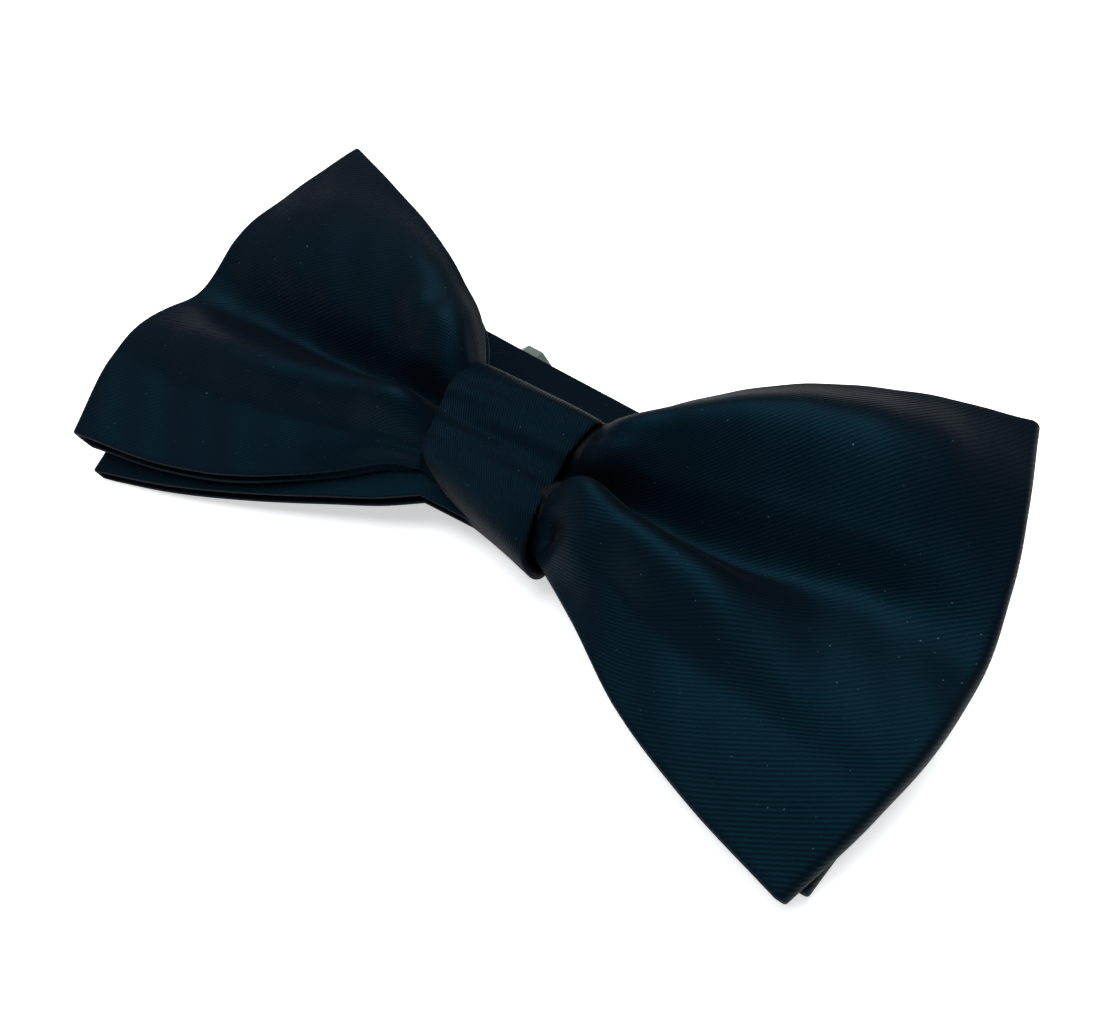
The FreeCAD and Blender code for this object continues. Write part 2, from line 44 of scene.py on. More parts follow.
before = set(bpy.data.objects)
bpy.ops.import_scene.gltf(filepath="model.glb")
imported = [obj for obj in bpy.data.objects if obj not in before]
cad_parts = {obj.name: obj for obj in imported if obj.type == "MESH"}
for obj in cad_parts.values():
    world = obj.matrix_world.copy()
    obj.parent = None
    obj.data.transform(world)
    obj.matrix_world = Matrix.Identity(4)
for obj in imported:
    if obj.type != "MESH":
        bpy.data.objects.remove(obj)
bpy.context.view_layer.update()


# ---------------------------------------------------------------- curves and grids


def smooth_through(knots, values, at):
    """Smooth curve through the values at the knots, read at the given places."""
    knots = np.asarray(knots, float)
    values = np.asarray(values, float)
    at = np.clip(np.asarray(at, float), knots[0], knots[-1])
    steps = np.diff(knots)
    rises = np.diff(values, axis=0) / steps.reshape((-1,) + (1,) * (values.ndim - 1))
    slopes = np.empty_like(values)
    slopes[0], slopes[-1] = rises[0], rises[-1]
    before = steps[:-1].reshape((-1,) + (1,) * (values.ndim - 1))
    after = steps[1:].reshape((-1,) + (1,) * (values.ndim - 1))
    slopes[1:-1] = (rises[:-1] * after + rises[1:] * before) / (before + after)
    span = np.clip(np.searchsorted(knots, at, side="right") - 1, 0, len(steps) - 1)
    share = (at - knots[span]) / steps[span]
    shape = share.shape + (1,) * (values.ndim - 1)
    share = share.reshape(shape)
    step = steps[span].reshape(shape)
    low, high = values[span], values[span + 1]
    a = 2 * share**3 - 3 * share**2 + 1
    b = share**3 - 2 * share**2 + share
    c = -2 * share**3 + 3 * share**2
    d = share**3 - share**2
    return a * low + b * step * slopes[span] + c * high + d * step * slopes[span + 1]


def ease(value, low, high):
    """0 below low, 1 above high and an S-shaped rise between."""
    share = np.clip((value - low) / (high - low), 0, 1)
    return share * share * (3 - 2 * share)


def unit(vectors):
    return vectors / np.maximum(np.linalg.norm(vectors, axis=-1, keepdims=True), 1e-12)


def bow_to_world(points):
    """Points across the bow, up its wings and out of its face, in the part's frame."""
    lean = math.radians(LEAN)
    x, y, z = np.moveaxis(np.asarray(points, float), -1, 0)
    up = BOW_LIFT + y * math.sin(lean) + z * math.cos(lean)
    return np.stack([x, y * math.cos(lean) - z * math.sin(lean), up], -1)


def stack_to_world(points):
    """Points along the folded band, across it and up, in the part's frame."""
    turn = math.radians(STACK_TURN)
    x, y, z = np.moveaxis(np.asarray(points, float), -1, 0)
    along = x * math.cos(turn) - y * math.sin(turn)
    across = STACK_Y + x * math.sin(turn) + y * math.cos(turn)
    return np.stack([along, across, z], -1)


def mesh_object(name, points, faces, corner_uv=None, length=0.0, sharp=()):
    """A smooth mesh from points in millimetres of the part's frame.

    length is that of the flat cloth in mm.  sharp holds sets of points whose edges stay crisp."""
    mesh = bpy.data.meshes.new(name)
    mesh.from_pydata((np.asarray(points) * MM).tolist(), [], faces)
    mesh.update()
    mesh.polygons.foreach_set("use_smooth", [True] * len(mesh.polygons))
    if corner_uv is not None:
        layer = mesh.uv_layers.new(name="cloth")
        layer.data.foreach_set("uv", np.asarray(corner_uv, float).ravel())
    for edge in mesh.edges:
        if any(edge.vertices[0] in ring and edge.vertices[1] in ring for ring in sharp):
            edge.use_edge_sharp = True
    piece = bpy.data.objects.new(name, mesh)
    piece["length"] = length
    bpy.context.collection.objects.link(piece)
    return piece


def cloth_band(name, middle, thickness, closed, seam=0.12, edge_steps=5):
    """A band of cloth with rounded long edges round a grid of points.

    middle[i, j] is the cloth's mid-surface, i along the band and j across it.  closed says
    whether the band's last row meets its first.  seam is how deep the groove is where the
    cloth's two plies meet along each edge.  The UV map measures the cloth in mm."""
    rows, columns = middle.shape[:2]
    if closed:
        along = np.roll(middle, -1, 0) - np.roll(middle, 1, 0)
    else:
        along = np.gradient(middle, axis=0)
    across = np.gradient(middle, axis=1)
    normal = unit(np.cross(along, across))
    half = np.broadcast_to(np.asarray(thickness, float) / 2, (rows, columns))[..., None]
    top = middle + normal * half
    under = middle - normal * half
    high_edge = unit(across[:, -1])[:, None]
    low_edge = -unit(across[:, 0])[:, None]
    turn = np.linspace(0, math.pi, edge_steps + 2)[1:-1]
    notch = 1 - np.where(np.isclose(turn, math.pi / 2), seam, 0) / half.max()
    cos, sin = (np.cos(turn) * notch)[None, :, None], (np.sin(turn) * notch)[None, :, None]
    high_round = middle[:, -1:] + (normal[:, -1:] * cos + high_edge * sin) * half[:, -1:]
    low_round = middle[:, :1] + (-normal[:, :1] * cos + low_edge * sin) * half[:, :1]
    ring = np.concatenate([top, high_round, under[:, ::-1], low_round], axis=1)
    count = ring.shape[1]

    reach = np.linalg.norm(np.diff(middle, axis=0), axis=-1).mean(1)
    run = np.concatenate([[0], np.cumsum(reach), [reach.sum() + reach.mean()]])
    width = np.linalg.norm(np.diff(middle, axis=1), axis=-1).mean(0)
    side = np.concatenate([[0], np.cumsum(width)])
    edge = half.mean() * turn
    v = np.concatenate([side, side[-1] + edge, side[-1] + half.mean() * math.pi + side])
    v = np.concatenate([v, v[-1] + edge, [v[-1] + half.mean() * math.pi]])

    faces, corners = [], []
    for i in range(rows if closed else rows - 1):
        here, there = i * count, (i + 1) % rows * count
        for j in range(count):
            k = (j + 1) % count
            faces.append((here + j, there + j, there + k, here + k))
            corners += [(run[i], v[j]), (run[i + 1], v[j]), (run[i + 1], v[j + 1]), (run[i], v[j + 1])]
    if closed:
        return mesh_object(name, ring.reshape(-1, 3), faces, corners, run[-1])
    for base, flip in ((0, False), ((rows - 1) * count, True)):
        for face in band_end(base, columns, edge_steps, flip):
            faces.append(face)
            corners += [(run[0 if base == 0 else rows - 1], v[point - base]) for point in face]
    ends = (set(range(count)), set(range((rows - 1) * count, rows * count)))
    return mesh_object(name, ring.reshape(-1, 3), faces, corners, run[-2], ends)


def band_end(base, columns, edge_steps, flip):
    """Faces that close a band's cut end, from its top row to its underside."""
    faces = []
    for j in range(columns - 1):
        under = 2 * columns + edge_steps - 1 - j
        faces.append((base + j, base + j + 1, base + under - 1, base + under))
    high = [base + columns - 1 + step for step in range(edge_steps + 2)]
    low = [base + 2 * columns + edge_steps - 1 + step for step in range(edge_steps + 1)] + [base]
    faces += [tuple(high), tuple(low)]
    return [face[::-1] for face in faces] if flip else faces


# ---------------------------------------------------------------- the bow's loops

# How far from the middle the wings start and their corners lie
KNOT_REACH = 10.0
CORNER_X = 56.5
# Where across a wing the seven points of a section lie, as shares of its width
PROFILE_AT = [0, 0.22, 0.44, 0.485, 0.62, 0.82, 1]

# A wing's cross-sections from the knot to its end.  Each has its share of the wing's
# length, then seven points (up the wing, out of the face) from the lower edge to the upper:
# edge, lower lobe, ridge, valley, slope, crest, edge.
RIGHT_WING = [
    (0.00, (-12.0, -2.2), (-8.8, 0.8), (-4.4, 1.0), (-2.7, -0.9), (0.2, 1.1), (4.0, 1.4), (6.6, 0.2)),
    (0.05, (-13.2, -1.6), (-9.2, 2.6), (-3.2, 3.2), (-2.3, -0.6), (0.6, 3.2), (4.8, 4.6), (7.2, 2.2)),
    (0.22, (-17.4, -0.8), (-12.0, 2.0), (-4.0, 3.9), (-2.9, -0.6), (3.0, 3.0), (9.6, 7.2), (13.0, 4.4)),
    (0.45, (-23.8, -0.3), (-15.6, 1.7), (-5.0, 3.6), (-3.3, 0.0), (5.4, 4.2), (15.0, 9.0), (20.4, 5.8)),
    (0.72, (-28.6, -0.1), (-18.0, 1.7), (-6.0, 2.4), (-1.0, 0.5), (7.2, 4.6), (18.2, 8.2), (26.7, 3.8)),
    (1.00, (-32.0, 0.0), (-20.0, 1.8), (-6.0, 2.4), (-1.4, 1.2), (9.0, 2.6), (20.0, 2.9), (32.0, 0.0)),
]
LEFT_WING = [
    (0.00, (-10.0, -2.0), (-8.0, 0.2), (-3.8, 0.8), (-2.4, -0.8), (0.5, 0.4), (3.6, 0.9), (5.4, -0.6)),
    (0.07, (-11.4, -1.0), (-9.0, 1.8), (-3.0, 3.0), (-1.7, -1.4), (2.4, 2.9), (7.4, 4.8), (10.4, 2.0)),
    (0.22, (-16.8, -0.8), (-12.0, 2.2), (-3.8, 3.4), (-2.2, -1.2), (3.6, 3.2), (11.6, 6.4), (15.6, 3.8)),
    (0.45, (-24.2, -0.2), (-15.6, 2.4), (-5.8, 3.4), (-3.4, -1.2), (4.4, 3.6), (15.4, 6.6), (21.4, 4.0)),
    (0.72, (-29.2, 0.8), (-18.6, 2.8), (-7.2, 3.2), (-3.8, -0.8), (6.2, 3.8), (18.0, 5.6), (26.8, 2.8)),
    (1.00, (-32.0, 2.0), (-20.0, 3.4), (-8.6, 2.6), (-4.4, 0.8), (6.4, 3.3), (18.0, 3.1), (32.2, 0.2)),
]
# How far each wing's end stands out past its corners, from the lower corner to the upper
RIGHT_END = [0.0, 3.7, 6.3, 6.6, 5.4, 2.9, 0.0]
LEFT_END = [2.2, 5.4, 4.6, 4.5, 3.4, 1.6, 0.4]

# The loop behind shows only as a sliver, and is flatter: share, lower edge, upper edge
BACK_WING = [
    (0.00, -11.7, 4.6),
    (0.10, -14.6, 7.0),
    (0.25, -18.0, 11.6),
    (0.50, -23.4, 19.4),
    (0.75, -28.0, 26.0),
    (1.00, -31.4, 31.4),
]
BACK_LEFT_END = [2.2, 4.0, 4.4, 4.6, 4.2, 2.6, -0.6]
BACK_RIGHT_END = [-0.6, 1.8, 3.2, 3.8, 3.8, 2.6, -0.6]

# Small bumps and dimples in the front: side, place along the wing, up the wing, radius, height
FEATURES = [
    (1, 13.0, -10.4, 1.6, -2.6),
    (1, 17.6, -10.4, 3.0, 1.2),
    (1, 18.4, -14.6, 2.6, -0.6),
    (-1, -22.0, 8.4, 2.6, 0.9),
    (-1, -18.0, 7.4, 2.4, 0.8),
    (-1, -24.0, 4.2, 3.4, -0.7),
]


# Two sets of small pleats next to the knot: height, waves across the wing in radians, phase
PLEATS = [(0.34, 29, 1.3), (0.2, 47, 2.1)]
# As shares of the wing, how far the pleats take to rise and to die away
PLEAT_RISE = 0.02
PLEAT_FADE = 0.12
# Slow waves of the whole surface: height, waves along and up the wing in radians per mm,
# and how much they differ between the two sides
SWELLS = [(0.16, 0.23, 0.11, 1), (0.12, -0.09, 0.31, 0), (0.05, 0.71, 0.53, 0)]

# The fold line of a wing, between these shares of its width, gets a finer grid
RIDGE = (0.41, 0.52)
GRID_BELOW, GRID_RIDGE, GRID_ABOVE = 30, 20, 36
GRID_ALONG = 130
GRID_CROWDING = 1.15
ROUND_STEPS = 10

# Each loop: half the gap between its plies at the ends, cloth thickness, rear ply's level
FRONT_LOOP = {"fold": 0.9, "cloth": 0.8, "level": -2.0}
BACK_LOOP = {"fold": 0.7, "cloth": 0.7, "level": -5.2}
BACK_DEPTH = 3.4
BACK_TURN = 2.4
BACK_SHIFT = (1.0, -0.8)


def back_sections():
    """The rear loop's wing as full sections, each a low wave between its two edges."""
    sections = []
    for share, low, high in BACK_WING:
        wave = 0.5 + 0.5 * share
        heights = [0, 0.5 * wave, 0.8 * wave, 0.2 * wave, 0.6 * wave, 0.9 * wave, 0]
        points = [(low + (high - low) * at, rise - BACK_DEPTH) for at, rise in zip(PROFILE_AT, heights)]
        sections.append((share, *points))
    return sections


def wing_surface(stations, end_reach, side, along, across):
    """Points of a wing's front face; along runs 0 at the knot to 1 at the wing's end."""
    shares = [station[0] for station in stations]
    outline = np.array([station[1:] for station in stations], float)
    sections = smooth_through(shares, outline, along)
    points = smooth_through(PROFILE_AT, np.moveaxis(sections, 1, 0), across)
    points = np.moveaxis(points, 0, 1)
    end = CORNER_X + smooth_through(PROFILE_AT, end_reach, across)
    x = KNOT_REACH + (end[None, :] - KNOT_REACH) * along[:, None]
    return np.concatenate([x[..., None] * side, points], -1)


def add_gathers(surface, along, across, side):
    """Small pleats that fan out from the knot and die away along the wing."""
    fade = np.exp(-along / PLEAT_FADE)[:, None] * (1 - np.exp(-along / PLEAT_RISE))[:, None]
    (height, waves, phase), (low_height, low_waves, low_phase) = PLEATS
    pleats = height * np.sin(across * waves + phase * side)
    pleats = pleats + low_height * np.sin(across * low_waves + low_phase)
    surface = surface.copy()
    surface[..., 2] += pleats[None, :] * fade * np.sin(across * math.pi)[None, :] ** 0.5
    return surface


def add_undulation(surface, side):
    """The slow unevenness of real cloth, a fraction of a millimetre."""
    x, v = surface[..., 0], surface[..., 1]
    swell = 0
    for height, along, up, shift in SWELLS:
        swell = swell + height * np.sin(x * along + v * up + shift * side)
    surface = surface.copy()
    surface[..., 2] += swell * ease(np.abs(x), KNOT_REACH, 2 * KNOT_REACH)
    return surface


def add_features(surface, side):
    """The bumps and dimples listed for this side."""
    surface = surface.copy()
    for wanted, x, v, radius, height in FEATURES:
        if wanted != side:
            continue
        far = (surface[..., 0] - x) ** 2 + (surface[..., 1] - v) ** 2
        surface[..., 2] += height * np.exp(-far / radius**2)
    return surface


def bow_loop(name, wings, place, detail, fold, cloth, level):
    """A loop of cloth pinched at its middle: a front ply, a rear ply and two rounded ends.

    wings are (sections, end reach) for the left and the right, fold is half the gap between
    the plies at the ends, and level is how far back the rear ply lies.  place takes points
    into the part's frame, and detail adds the pleats, bumps and slow waves."""
    below = np.linspace(0, RIDGE[0], GRID_BELOW)[:-1]
    above = np.linspace(RIDGE[1], 1, GRID_ABOVE)[1:]
    across = np.concatenate([below, np.linspace(*RIDGE, GRID_RIDGE), above])
    along = np.linspace(0, 1, GRID_ALONG) ** GRID_CROWDING
    fronts = []
    for (sections, end_reach), side in zip(wings, (-1, 1)):
        surface = wing_surface(sections, end_reach, side, along, across)
        surface[..., 0] -= side * fold * along[:, None]
        if detail:
            surface = add_gathers(surface, along, across, side)
            surface = add_features(surface, side)
            surface = add_undulation(surface, side)
        fronts.append(surface)
    left, right = fronts
    front = np.concatenate([left[::-1], right], 0)
    rear = front.copy()
    rear_level = level + front[..., 2] * 0.15
    rear[..., 2] = front[..., 2] - np.maximum(front[..., 2] - rear_level, 2 * fold)
    ends = []
    for row, side in ((-1, 1), (0, -1)):
        top, under = front[row], rear[row]
        radius = (top[:, 2] - under[:, 2]) / 2
        turns = np.linspace(0, math.pi, ROUND_STEPS + 2)[1:-1]
        arc = np.repeat(((top + under) / 2)[None], len(turns), 0)
        arc[..., 2] += radius * np.cos(turns)[:, None]
        arc[..., 0] += side * fold * np.sin(turns)[:, None]
        ends.append(arc)
    loop = np.concatenate([front, ends[0], rear[::-1], ends[1][::-1]], 0)
    return cloth_band(name, place(loop), cloth, True)


def back_to_world(points):
    """As bow_to_world, for the loop behind, which is turned and shifted a little."""
    turn = math.radians(BACK_TURN)
    x, y, z = np.moveaxis(points, -1, 0)
    along = x * math.cos(turn) - y * math.sin(turn) + BACK_SHIFT[0]
    up = x * math.sin(turn) + y * math.cos(turn) + BACK_SHIFT[1]
    return bow_to_world(np.stack([along, up, z], -1))


def make_bow():
    """The front and the back loop, each a single sheet pinched at its middle."""
    wings = ((LEFT_WING, LEFT_END), (RIGHT_WING, RIGHT_END))
    front = bow_loop("front_loop", wings, bow_to_world, True, **FRONT_LOOP)
    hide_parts("front_bow_satin", "front_bow_interlining")
    wings = ((back_sections(), BACK_LEFT_END), (back_sections(), BACK_RIGHT_END))
    back = bow_loop("back_loop", wings, back_to_world, False, **BACK_LOOP)
    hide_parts("back_bow_satin", "back_bow_interlining")
    for loop, rest in ((front, back), (back, "band_near_knot")):
        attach(loop, "bow")
    return front, back


# ---------------------------------------------------------------- the knot

# Sections round the knot, from the front's top edge down its face, behind it and back up:
# up the wing, out of the face, left edge, right edge, drop of the right edge
KNOT_SECTIONS = [
    (6.4, -1.6, -11.8, 9.2, 0.0),
    (6.2, 1.6, -11.7, 9.2, 0.0),
    (4.2, 3.0, -11.6, 9.0, 0.0),
    (0.6, 2.9, -11.4, 8.6, 0.2),
    (-2.6, 2.1, -11.0, 8.6, 0.6),
    (-6.0, 2.5, -10.4, 9.0, 0.9),
    (-9.2, 2.5, -8.4, 9.8, 1.8),
    (-11.4, 0.4, -4.4, 10.8, 3.0),
    (-11.8, -3.4, -2.6, 11.8, 3.2),
    (-11.4, -7.6, -5.0, 11.4, 1.8),
    (-9.0, -9.4, -8.6, 10.8, 0.4),
    (-2.0, -9.6, -11.2, 10.4, 0.0),
    (4.5, -9.5, -11.8, 10.0, 0.0),
    (7.4, -6.0, -12.0, 9.6, 0.0),
]

# The knot band's cloth thickness in mm, and how many points run round the knot and across it
KNOT_CLOTH = 0.9
KNOT_ROWS, KNOT_COLUMNS = 180, 44
# How far the middle of the face stands out, and how far the whole face is set back
KNOT_CROWN = 0.62
KNOT_SETBACK = 0.48


def make_knot():
    """The band wrapped round the waist: wide at the top, narrower and to one side below."""
    ring = np.array(KNOT_SECTIONS, float)
    spare = 3
    padded = np.concatenate([ring[-spare:], ring, ring[:spare]])
    around = np.linspace(0, len(ring), KNOT_ROWS + 1)[:-1]
    curve = smooth_through(np.arange(-spare, len(ring) + spare), padded, around)
    across = np.linspace(0, 1, KNOT_COLUMNS)
    v, w, low, high, drop = [curve[:, k : k + 1] for k in range(5)]
    x = low + (high - low) * across
    crown = KNOT_CROWN * (1 - (2 * across - 1) ** 4)
    face = ease(w, -2.0, 2.0)
    wrinkle = 0.14 * np.sin(v * 1.1 + across * 2.4) + 0.07 * np.sin(v * 2.3 - across * 5.0)
    grid = np.stack([x, v - drop * across, w + face * (crown - KNOT_SETBACK + wrinkle)], -1)
    knot = cloth_band("knot_band", bow_to_world(grid[::-1]), KNOT_CLOTH, True)
    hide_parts("knot_wrap", "knot_interlining")
    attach(knot, "bow")
    return knot


# ---------------------------------------------------------------- the neck band

BAND_WIDTH = 18.0
BAND_THICKNESS = 0.56
# How deep the groove is along the band's edges, and how many points lie across it
BAND_SEAM = 0.05
BAND_COLUMNS = 25
# The hems add the second share of the thickness to the first, and end between these insets
PLAIN_SHARE, HEM_SHARE = 0.86, 0.14
HEM_INSETS = (1.6, 2.2)

# Each flat run's level in the folded stack.  Run d steps up from one level to the other.
RUN_LEVELS = {"a": 6.1, "b": 5.3, "c": 4.5, "d": 0.3, "d_high": 1.3, "return": 3.7}
STEP_AT = (2.6, -1.0)
# Each turn of the band: how far out along the stack, level of its middle, radius
FIRST_FOLD = (56.0, 5.7, 0.4)
SECOND_FOLD = (-56.0, 4.9, 0.4)
THIRD_FOLD = (56.0, 2.4, 2.1)
HOOK_FOLD = (-44.5, 2.5, 1.2)
SLIDE_LOOP = (-18.0, 2.85, 0.85)
# The level at which the slide's loop ends
SLIDE_LOOP_END = 2.0
# Where one piece of band ends and the next begins
RUN_A_END = 45.0
RUN_MIDDLE = 0.0
RUN_D_START = 20.0
RETURN_START = -43.0
RETURN_END = -24.0
# How far the upper layers have slipped sideways
SLIP = -0.9

# The eye's loop and the tunnel behind the knot, in the bow's frame
EYE_X = -15.8
EYE_LOOP_RADIUS = 1.1
TUNNEL_LEVEL = -7.85
TUNNEL_MIDDLE = -2.5
TUNNEL_END = 13.0
# From the tunnel the band swings down through this place, tilted by this much, to the stack
SWING_THROUGH = (31.0, 5.9, 6.75)
SWING_TILT = 7.1


def arc(centre, radius, start, end, count=13):
    """Points of an arc in a section plane; angles in degrees."""
    angles = np.radians(np.linspace(start, end, count))
    return [(centre[0] + radius * math.cos(a), centre[1] + radius * math.sin(a)) for a in angles]


def line(start, end, spacing=1.5):
    """The points between two ends, without the ends."""
    count = max(2, int(math.hypot(end[0] - start[0], end[1] - start[1]) / spacing) + 1)
    share = np.linspace(0, 1, count)[1:-1]
    return [(start[0] + (end[0] - start[0]) * s, start[1] + (end[1] - start[1]) * s) for s in share]


def routed(*parts):
    """One path from corner points and arcs, with the straights between them filled in."""
    path = []
    for part in parts:
        points = part if isinstance(part, list) else [part]
        if path:
            path += line(path[-1], points[0])
        path += points
    return np.array(path, float)


def hem_thickness(across):
    """The band is thicker along both edges, where the cloth is turned in."""
    inset = BAND_WIDTH / 2 - np.abs(across)
    return BAND_THICKNESS * (PLAIN_SHARE + HEM_SHARE * (1 - ease(inset, *HEM_INSETS)))


def across_band():
    """Places across the band's mid-surface, which stops half a thickness from each edge."""
    reach = BAND_WIDTH / 2 - BAND_THICKNESS / 2
    return np.linspace(-reach, reach, BAND_COLUMNS)


def stack_band(name, path, shift=(0.0, 0.0)):
    """A stretch of band whose section path lies in the folded stack.

    shift is how far its two ends have slipped sideways, as loosely folded layers do."""
    across = across_band()
    grid = np.empty((len(path), BAND_COLUMNS, 3))
    grid[..., 0] = path[:, :1]
    grid[..., 1] = across + np.linspace(*shift, len(path))[:, None]
    grid[..., 2] = path[:, 1:]
    return cloth_band(name, stack_to_world(grid), hem_thickness(across), False, seam=BAND_SEAM)


def make_run_a():
    """From the eye's loop through the knot, then down onto the folded stack."""
    under = TUNNEL_LEVEL - EYE_LOOP_RADIUS
    loop = routed(
        (EYE_X + 3.0, TUNNEL_LEVEL - 2 * EYE_LOOP_RADIUS),
        arc((EYE_X, under), EYE_LOOP_RADIUS, 270, 90),
        (TUNNEL_END, TUNNEL_LEVEL),
    )
    across = across_band()
    grid = np.empty((len(loop), BAND_COLUMNS, 3))
    grid[..., 0] = loop[:, :1]
    grid[..., 1] = TUNNEL_MIDDLE + across
    grid[..., 2] = loop[:, 1:]
    tunnel = bow_to_world(grid)
    tilt = math.radians(SWING_TILT)
    x, y, z = SWING_THROUGH
    swing = np.stack(
        [np.full(BAND_COLUMNS, x), y + across * math.cos(tilt), z + across * math.sin(tilt)], -1
    )
    level = np.full(BAND_COLUMNS, RUN_LEVELS["a"])
    landed = [
        stack_to_world(np.stack([np.full(BAND_COLUMNS, x), across + SLIP, level], -1))
        for x in (RUN_A_END, FIRST_FOLD[0])
    ]
    # A row back in the tunnel and one past the end keep the curve's two ends straight
    rows = np.stack([tunnel[-9], tunnel[-1], swing, *landed])
    leave, land = 12.0, 44.5
    knots = [0.0, leave, 30.0, land, 55.5]
    joined = smooth_through(knots, rows, np.linspace(leave, land, 28)[1:])
    middle = np.concatenate([tunnel, joined])
    return cloth_band("band_near_knot", middle, hem_thickness(across), False, seam=BAND_SEAM)


def make_band():
    """The neck band as pieces that each ride on one run or bend across one fold."""
    run = RUN_LEVELS
    near = make_run_a()
    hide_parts("band_run_a")
    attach(near, "bow")

    x, level, radius = FIRST_FOLD
    turn = arc((x, level), radius, 90, -90)
    path = routed((RUN_A_END, run["a"]), turn, (RUN_MIDDLE, run["b"]))
    first = stack_band("band_first_fold", path, (SLIP, SLIP))
    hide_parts("band_fold_1")
    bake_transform(first)

    x, level, radius = SECOND_FOLD
    turn = arc((x, level), radius, 90, 270)
    path = routed((RUN_MIDDLE, run["b"]), turn, (RUN_MIDDLE, run["c"]))
    second = stack_band("band_second_fold", path, (SLIP, 0.0))
    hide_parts("band_run_b", "band_fold_2")
    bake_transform(second)

    x, level, radius = THIRD_FOLD
    turn = arc((x, level), radius, 90, -90, 19)
    path = routed((RUN_MIDDLE, run["c"]), turn, (RUN_D_START, run["d"]))
    third = stack_band("band_third_fold", path)
    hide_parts("band_run_c", "band_fold_3")
    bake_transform(third)

    rise = run["d_high"] - run["d"]
    step = [(x, run["d"] + rise * float(ease(-x, -STEP_AT[0], -STEP_AT[1])))
            for x in np.linspace(*STEP_AT, 9)]
    x, level, radius = HOOK_FOLD
    turn = arc((x, level), radius, 270, 90)
    path = routed((RUN_D_START, run["d"]), step, turn, (RETURN_START, run["return"]))
    outer = stack_band("band_hook_end", path)
    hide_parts("band_run_d")
    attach(outer, "run_d")

    path = routed((RETURN_START, run["return"]), (RETURN_END, run["return"]))
    back = stack_band("band_doubled_back", path)
    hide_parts("band_return")
    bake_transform(back)

    x, level, radius = SLIDE_LOOP
    turn = arc((x, level), radius, 90, -90)
    path = routed((RETURN_END, run["return"]), turn, (x - 5.5, SLIDE_LOOP_END))
    loop = stack_band("band_slide_loop", path)
    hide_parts("band_end_loop")
    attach(loop, "slide")
    pieces = [near, first, second, third, outer, back, loop]
    return pieces


# ---------------------------------------------------------------- materials


# A wave texture at a scale of 1 repeats after this length, in the units of its vector
WAVE_PERIOD = 0.314
SATIN_DARK = (0.0006, 0.0016, 0.0036)
SATIN_PALE = (0.0016, 0.0037, 0.0066)
SATIN_GLOSS_TINT = (0.08, 0.64, 1.0, 1)
SATIN_SHEEN = 0.014
SATIN_SHEEN_TINT = (1.0, 0.88, 0.82, 1)
# How strongly satin reflects face on and at a grazing angle
SATIN_GLOSS = (0.075, 0.010)
SATIN_ROUGHNESS = (0.52, 0.42)
LINT_COLOR = (0.06, 0.08, 0.09, 1)
LINT_ABOVE = (0.79, 0.83)


def node_material(name):
    material = bpy.data.materials.new(name)
    material.use_nodes = True
    nodes = material.node_tree.nodes
    shader = nodes["Principled BSDF"]
    return material, nodes, material.node_tree.links, shader


def noise(nodes, links, vector, scale, detail=3.0, roughness=0.55):
    texture = nodes.new("ShaderNodeTexNoise")
    texture.inputs["Scale"].default_value = scale
    texture.inputs["Detail"].default_value = detail
    texture.inputs["Roughness"].default_value = roughness
    links.new(vector, texture.inputs["Vector"])
    return texture.outputs["Fac"]


def ramp(nodes, links, value, low, high):
    """Colour from low to high as the value rises; each is (place, colour)."""
    node = nodes.new("ShaderNodeValToRGB")
    for element, (place, color) in zip(node.color_ramp.elements, (low, high)):
        element.position = place
        element.color = (*color, 1)
    links.new(value, node.inputs["Fac"])
    return node.outputs["Color"]


def remap(nodes, links, value, low, high, to_low, to_high):
    """The value moved from one range to another, and held inside it."""
    node = nodes.new("ShaderNodeMapRange")
    for socket, number in zip(("From Min", "From Max", "To Min", "To Max"), (low, high, to_low, to_high)):
        node.inputs[socket].default_value = number
    links.new(value, node.inputs["Value"])
    return node.outputs["Result"]


def math_node(nodes, links, operation, first, second):
    node = nodes.new("ShaderNodeMath")
    node.operation = operation
    for socket, value in zip(node.inputs, (first, second)):
        if isinstance(value, (int, float)):
            socket.default_value = value
        else:
            links.new(value, socket)
    return node.outputs["Value"]


def bumped(nodes, links, shader, height, depth, strength=1.0):
    bump = nodes.new("ShaderNodeBump")
    bump.inputs["Strength"].default_value = strength
    bump.inputs["Distance"].default_value = depth
    links.new(height, bump.inputs["Height"])
    links.new(bump.outputs["Normal"], shader.inputs["Normal"])


